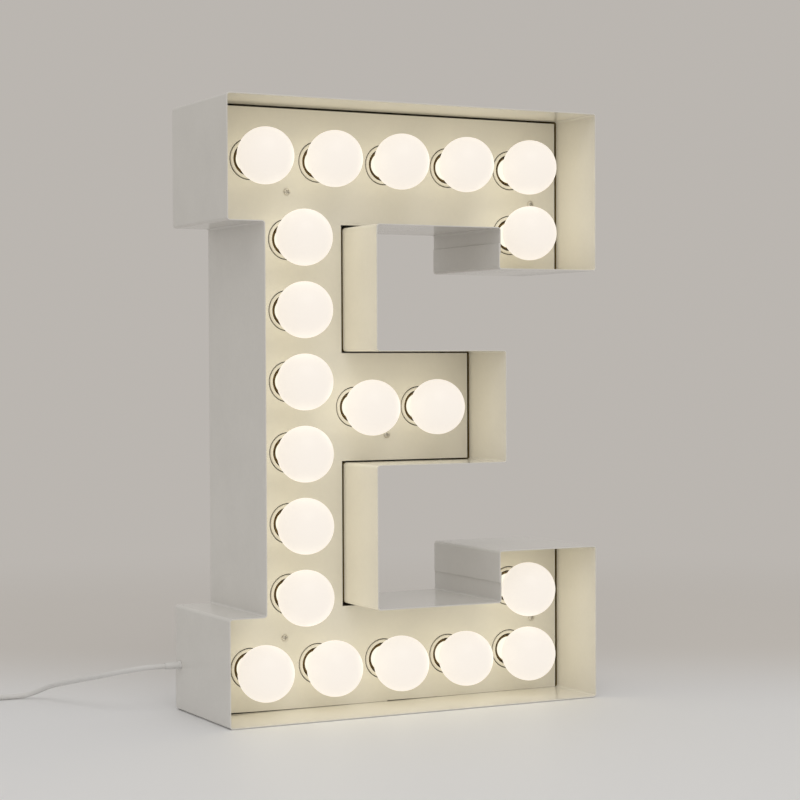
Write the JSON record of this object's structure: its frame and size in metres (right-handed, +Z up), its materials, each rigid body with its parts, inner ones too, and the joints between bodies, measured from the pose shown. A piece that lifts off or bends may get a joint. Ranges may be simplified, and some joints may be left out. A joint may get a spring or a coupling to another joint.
{
  "type": "light-up letter",
  "caption": "Free-standing slab-serif capital letter of painted sheet metal, with globe bulbs in lampholders on a recessed face panel and a mains cord with switch.",
  "frame": {"origin": "on the floor under the middle of the letter's width and depth", "axes": "+Z up, -Y out of the letter's front, +X to the reader's right when facing the front"},
  "size_m": [0.781, 0.3155, 0.65],
  "materials": {
    "outer_paint": "satin",
    "face_paint": "satin",
    "steel": "satin",
    "holder_plastic": "gloss",
    "brass": "satin",
    "cap_metal": "satin",
    "opal_glass": "gloss",
    "cord_sheath": "matte",
    "switch_plastic": "satin",
    "tie_plastic": "matte"
  },
  "bodies": {
    "case": {"outer_return": "outer_paint", "inner_return": "outer_paint", "back_panel": "outer_paint", "face_panel": "face_paint", "panel_standoffs": "steel", "face_screws": "steel", "holder_bodies": "holder_plastic", "holder_collars": "holder_plastic", "holder_shells": "brass", "holder_contacts": "brass", "wiring_loom": "cord_sheath", "terminal_block": "holder_plastic", "cord_gland": "cord_sheath", "cord": "cord_sheath", "switch_case": "switch_plastic", "cord_coil": "cord_sheath", "coil_tie": "tie_plastic", "plug_body": "switch_plastic", "plug_contacts": "steel"},
    "rocker": {"switch_rocker": "switch_plastic"},
    "bulb_01_cap": {"bulb_01_cap": "cap_metal"},
    "bulb_01_globe": {"bulb_01_globe": "opal_glass"},
    "bulb_02_cap": {"bulb_02_cap": "cap_metal"},
    "bulb_02_globe": {"bulb_02_globe": "opal_glass"},
    "bulb_03_cap": {"bulb_03_cap": "cap_metal"},
    "bulb_03_globe": {"bulb_03_globe": "opal_glass"},
    "bulb_04_cap": {"bulb_04_cap": "cap_metal"},
    "bulb_04_globe": {"bulb_04_globe": "opal_glass"},
    "bulb_05_cap": {"bulb_05_cap": "cap_metal"},
    "bulb_05_globe": {"bulb_05_globe": "opal_glass"},
    "bulb_06_cap": {"bulb_06_cap": "cap_metal"},
    "bulb_06_globe": {"bulb_06_globe": "opal_glass"},
    "bulb_07_cap": {"bulb_07_cap": "cap_metal"},
    "bulb_07_globe": {"bulb_07_globe": "opal_glass"},
    "bulb_08_cap": {"bulb_08_cap": "cap_metal"},
    "bulb_08_globe": {"bulb_08_globe": "opal_glass"},
    "bulb_09_cap": {"bulb_09_cap": "cap_metal"},
    "bulb_09_globe": {"bulb_09_globe": "opal_glass"},
    "bulb_10_cap": {"bulb_10_cap": "cap_metal"},
    "bulb_10_globe": {"bulb_10_globe": "opal_glass"},
    "bulb_11_cap": {"bulb_11_cap": "cap_metal"},
    "bulb_11_globe": {"bulb_11_globe": "opal_glass"},
    "bulb_12_cap": {"bulb_12_cap": "cap_metal"},
    "bulb_12_globe": {"bulb_12_globe": "opal_glass"},
    "bulb_13_cap": {"bulb_13_cap": "cap_metal"},
    "bulb_13_globe": {"bulb_13_globe": "opal_glass"},
    "bulb_14_cap": {"bulb_14_cap": "cap_metal"},
    "bulb_14_globe": {"bulb_14_globe": "opal_glass"},
    "bulb_15_cap": {"bulb_15_cap": "cap_metal"},
    "bulb_15_globe": {"bulb_15_globe": "opal_glass"},
    "bulb_16_cap": {"bulb_16_cap": "cap_metal"},
    "bulb_16_globe": {"bulb_16_globe": "opal_glass"},
    "bulb_17_cap": {"bulb_17_cap": "cap_metal"},
    "bulb_17_globe": {"bulb_17_globe": "opal_glass"},
    "bulb_18_cap": {"bulb_18_cap": "cap_metal"},
    "bulb_18_globe": {"bulb_18_globe": "opal_glass"},
    "bulb_19_cap": {"bulb_19_cap": "cap_metal"},
    "bulb_19_globe": {"bulb_19_globe": "opal_glass"},
    "bulb_20_cap": {"bulb_20_cap": "cap_metal"},
    "bulb_20_globe": {"bulb_20_globe": "opal_glass"}
  },
  "joints": [
    {"name": "bulb_01_travel", "type": "slide", "parent": "case", "child": "bulb_01_cap", "axis": [0, -1, 0], "range_m": [0, 0.0182]},
    {"name": "bulb_01_turn", "type": "hinge", "parent": "bulb_01_cap", "child": "bulb_01_globe", "pos_m": [-0.1625, 0.0055, 0.591], "axis": [0, -1, 0], "range_deg": [0, 1800]},
    {"name": "bulb_02_travel", "type": "slide", "parent": "case", "child": "bulb_02_cap", "axis": [0, -1, 0], "range_m": [0, 0.0182]},
    {"name": "bulb_02_turn", "type": "hinge", "parent": "bulb_02_cap", "child": "bulb_02_globe", "pos_m": [-0.0825, 0.0055, 0.591], "axis": [0, -1, 0], "range_deg": [0, 1800]},
    {"name": "bulb_03_travel", "type": "slide", "parent": "case", "child": "bulb_03_cap", "axis": [0, -1, 0], "range_m": [0, 0.0182]},
    {"name": "bulb_03_turn", "type": "hinge", "parent": "bulb_03_cap", "child": "bulb_03_globe", "pos_m": [-0.0025, 0.0055, 0.591], "axis": [0, -1, 0], "range_deg": [0, 1800]},
    {"name": "bulb_04_travel", "type": "slide", "parent": "case", "child": "bulb_04_cap", "axis": [0, -1, 0], "range_m": [0, 0.0182]},
    {"name": "bulb_04_turn", "type": "hinge", "parent": "bulb_04_cap", "child": "bulb_04_globe", "pos_m": [0.0775, 0.0055, 0.591], "axis": [0, -1, 0], "range_deg": [0, 1800]},
    {"name": "bulb_05_travel", "type": "slide", "parent": "case", "child": "bulb_05_cap", "axis": [0, -1, 0], "range_m": [0, 0.0182]},
    {"name": "bulb_05_turn", "type": "hinge", "parent": "bulb_05_cap", "child": "bulb_05_globe", "pos_m": [0.1575, 0.0055, 0.591], "axis": [0, -1, 0], "range_deg": [0, 1800]},
    {"name": "bulb_06_travel", "type": "slide", "parent": "case", "child": "bulb_06_cap", "axis": [0, -1, 0], "range_m": [0, 0.0182]},
    {"name": "bulb_06_turn", "type": "hinge", "parent": "bulb_06_cap", "child": "bulb_06_globe", "pos_m": [0.1575, 0.0055, 0.518], "axis": [0, -1, 0], "range_deg": [0, 1800]},
    {"name": "bulb_07_travel", "type": "slide", "parent": "case", "child": "bulb_07_cap", "axis": [0, -1, 0], "range_m": [0, 0.0182]},
    {"name": "bulb_07_turn", "type": "hinge", "parent": "bulb_07_cap", "child": "bulb_07_globe", "pos_m": [-0.1185, 0.0055, 0.507], "axis": [0, -1, 0], "range_deg": [0, 1800]},
    {"name": "bulb_08_travel", "type": "slide", "parent": "case", "child": "bulb_08_cap", "axis": [0, -1, 0], "range_m": [0, 0.0182]},
    {"name": "bulb_08_turn", "type": "hinge", "parent": "bulb_08_cap", "child": "bulb_08_globe", "pos_m": [-0.1185, 0.0055, 0.4308], "axis": [0, -1, 0], "range_deg": [0, 1800]},
    {"name": "bulb_09_travel", "type": "slide", "parent": "case", "child": "bulb_09_cap", "axis": [0, -1, 0], "range_m": [0, 0.0182]},
    {"name": "bulb_09_turn", "type": "hinge", "parent": "bulb_09_cap", "child": "bulb_09_globe", "pos_m": [-0.1185, 0.0055, 0.3546], "axis": [0, -1, 0], "range_deg": [0, 1800]},
    {"name": "bulb_10_travel", "type": "slide", "parent": "case", "child": "bulb_10_cap", "axis": [0, -1, 0], "range_m": [0, 0.0182]},
    {"name": "bulb_10_turn", "type": "hinge", "parent": "bulb_10_cap", "child": "bulb_10_globe", "pos_m": [-0.1185, 0.0055, 0.2784], "axis": [0, -1, 0], "range_deg": [0, 1800]},
    {"name": "bulb_11_travel", "type": "slide", "parent": "case", "child": "bulb_11_cap", "axis": [0, -1, 0], "range_m": [0, 0.0182]},
    {"name": "bulb_11_turn", "type": "hinge", "parent": "bulb_11_cap", "child": "bulb_11_globe", "pos_m": [-0.1185, 0.0055, 0.2022], "axis": [0, -1, 0], "range_deg": [0, 1800]},
    {"name": "bulb_12_travel", "type": "slide", "parent": "case", "child": "bulb_12_cap", "axis": [0, -1, 0], "range_m": [0, 0.0182]},
    {"name": "bulb_12_turn", "type": "hinge", "parent": "bulb_12_cap", "child": "bulb_12_globe", "pos_m": [-0.1185, 0.0055, 0.126], "axis": [0, -1, 0], "range_deg": [0, 1800]},
    {"name": "bulb_13_travel", "type": "slide", "parent": "case", "child": "bulb_13_cap", "axis": [0, -1, 0], "range_m": [0, 0.0182]},
    {"name": "bulb_13_turn", "type": "hinge", "parent": "bulb_13_cap", "child": "bulb_13_globe", "pos_m": [-0.039, 0.0055, 0.3265], "axis": [0, -1, 0], "range_deg": [0, 1800]},
    {"name": "bulb_14_travel", "type": "slide", "parent": "case", "child": "bulb_14_cap", "axis": [0, -1, 0], "range_m": [0, 0.0182]},
    {"name": "bulb_14_turn", "type": "hinge", "parent": "bulb_14_cap", "child": "bulb_14_globe", "pos_m": [0.04, 0.0055, 0.3265], "axis": [0, -1, 0], "range_deg": [0, 1800]},
    {"name": "bulb_15_travel", "type": "slide", "parent": "case", "child": "bulb_15_cap", "axis": [0, -1, 0], "range_m": [0, 0.0182]},
    {"name": "bulb_15_turn", "type": "hinge", "parent": "bulb_15_cap", "child": "bulb_15_globe", "pos_m": [0.155, 0.0055, 0.121], "axis": [0, -1, 0], "range_deg": [0, 1800]},
    {"name": "bulb_16_travel", "type": "slide", "parent": "case", "child": "bulb_16_cap", "axis": [0, -1, 0], "range_m": [0, 0.0182]},
    {"name": "bulb_16_turn", "type": "hinge", "parent": "bulb_16_cap", "child": "bulb_16_globe", "pos_m": [-0.165, 0.0055, 0.049], "axis": [0, -1, 0], "range_deg": [0, 1800]},
    {"name": "bulb_17_travel", "type": "slide", "parent": "case", "child": "bulb_17_cap", "axis": [0, -1, 0], "range_m": [0, 0.0182]},
    {"name": "bulb_17_turn", "type": "hinge", "parent": "bulb_17_cap", "child": "bulb_17_globe", "pos_m": [-0.085, 0.0055, 0.049], "axis": [0, -1, 0], "range_deg": [0, 1800]},
    {"name": "bulb_18_travel", "type": "slide", "parent": "case", "child": "bulb_18_cap", "axis": [0, -1, 0], "range_m": [0, 0.0182]},
    {"name": "bulb_18_turn", "type": "hinge", "parent": "bulb_18_cap", "child": "bulb_18_globe", "pos_m": [-0.005, 0.0055, 0.049], "axis": [0, -1, 0], "range_deg": [0, 1800]},
    {"name": "bulb_19_travel", "type": "slide", "parent": "case", "child": "bulb_19_cap", "axis": [0, -1, 0], "range_m": [0, 0.0182]},
    {"name": "bulb_19_turn", "type": "hinge", "parent": "bulb_19_cap", "child": "bulb_19_globe", "pos_m": [0.075, 0.0055, 0.049], "axis": [0, -1, 0], "range_deg": [0, 1800]},
    {"name": "bulb_20_travel", "type": "slide", "parent": "case", "child": "bulb_20_cap", "axis": [0, -1, 0], "range_m": [0, 0.0182]},
    {"name": "bulb_20_turn", "type": "hinge", "parent": "bulb_20_cap", "child": "bulb_20_globe", "pos_m": [0.155, 0.0055, 0.049], "axis": [0, -1, 0], "range_deg": [0, 1800]},
    {"name": "rocker_tilt", "type": "hinge", "parent": "case", "child": "rocker", "pos_m": [-0.4345, 0.2265, 0.016], "axis": [0, -1, 0], "range_deg": [0, 16]}
  ],
  "couplings": [
    {"joint": "bulb_01_travel", "follows": "bulb_01_turn", "m_per_rad": 0.00057773},
    {"joint": "bulb_02_travel", "follows": "bulb_02_turn", "m_per_rad": 0.00057773},
    {"joint": "bulb_03_travel", "follows": "bulb_03_turn", "m_per_rad": 0.00057773},
    {"joint": "bulb_04_travel", "follows": "bulb_04_turn", "m_per_rad": 0.00057773},
    {"joint": "bulb_05_travel", "follows": "bulb_05_turn", "m_per_rad": 0.00057773},
    {"joint": "bulb_06_travel", "follows": "bulb_06_turn", "m_per_rad": 0.00057773},
    {"joint": "bulb_07_travel", "follows": "bulb_07_turn", "m_per_rad": 0.00057773},
    {"joint": "bulb_08_travel", "follows": "bulb_08_turn", "m_per_rad": 0.00057773},
    {"joint": "bulb_09_travel", "follows": "bulb_09_turn", "m_per_rad": 0.00057773},
    {"joint": "bulb_10_travel", "follows": "bulb_10_turn", "m_per_rad": 0.00057773},
    {"joint": "bulb_11_travel", "follows": "bulb_11_turn", "m_per_rad": 0.00057773},
    {"joint": "bulb_12_travel", "follows": "bulb_12_turn", "m_per_rad": 0.00057773},
    {"joint": "bulb_13_travel", "follows": "bulb_13_turn", "m_per_rad": 0.00057773},
    {"joint": "bulb_14_travel", "follows": "bulb_14_turn", "m_per_rad": 0.00057773},
    {"joint": "bulb_15_travel", "follows": "bulb_15_turn", "m_per_rad": 0.00057773},
    {"joint": "bulb_16_travel", "follows": "bulb_16_turn", "m_per_rad": 0.00057773},
    {"joint": "bulb_17_travel", "follows": "bulb_17_turn", "m_per_rad": 0.00057773},
    {"joint": "bulb_18_travel", "follows": "bulb_18_turn", "m_per_rad": 0.00057773},
    {"joint": "bulb_19_travel", "follows": "bulb_19_turn", "m_per_rad": 0.00057773},
    {"joint": "bulb_20_travel", "follows": "bulb_20_turn", "m_per_rad": 0.00057773}
  ]
}
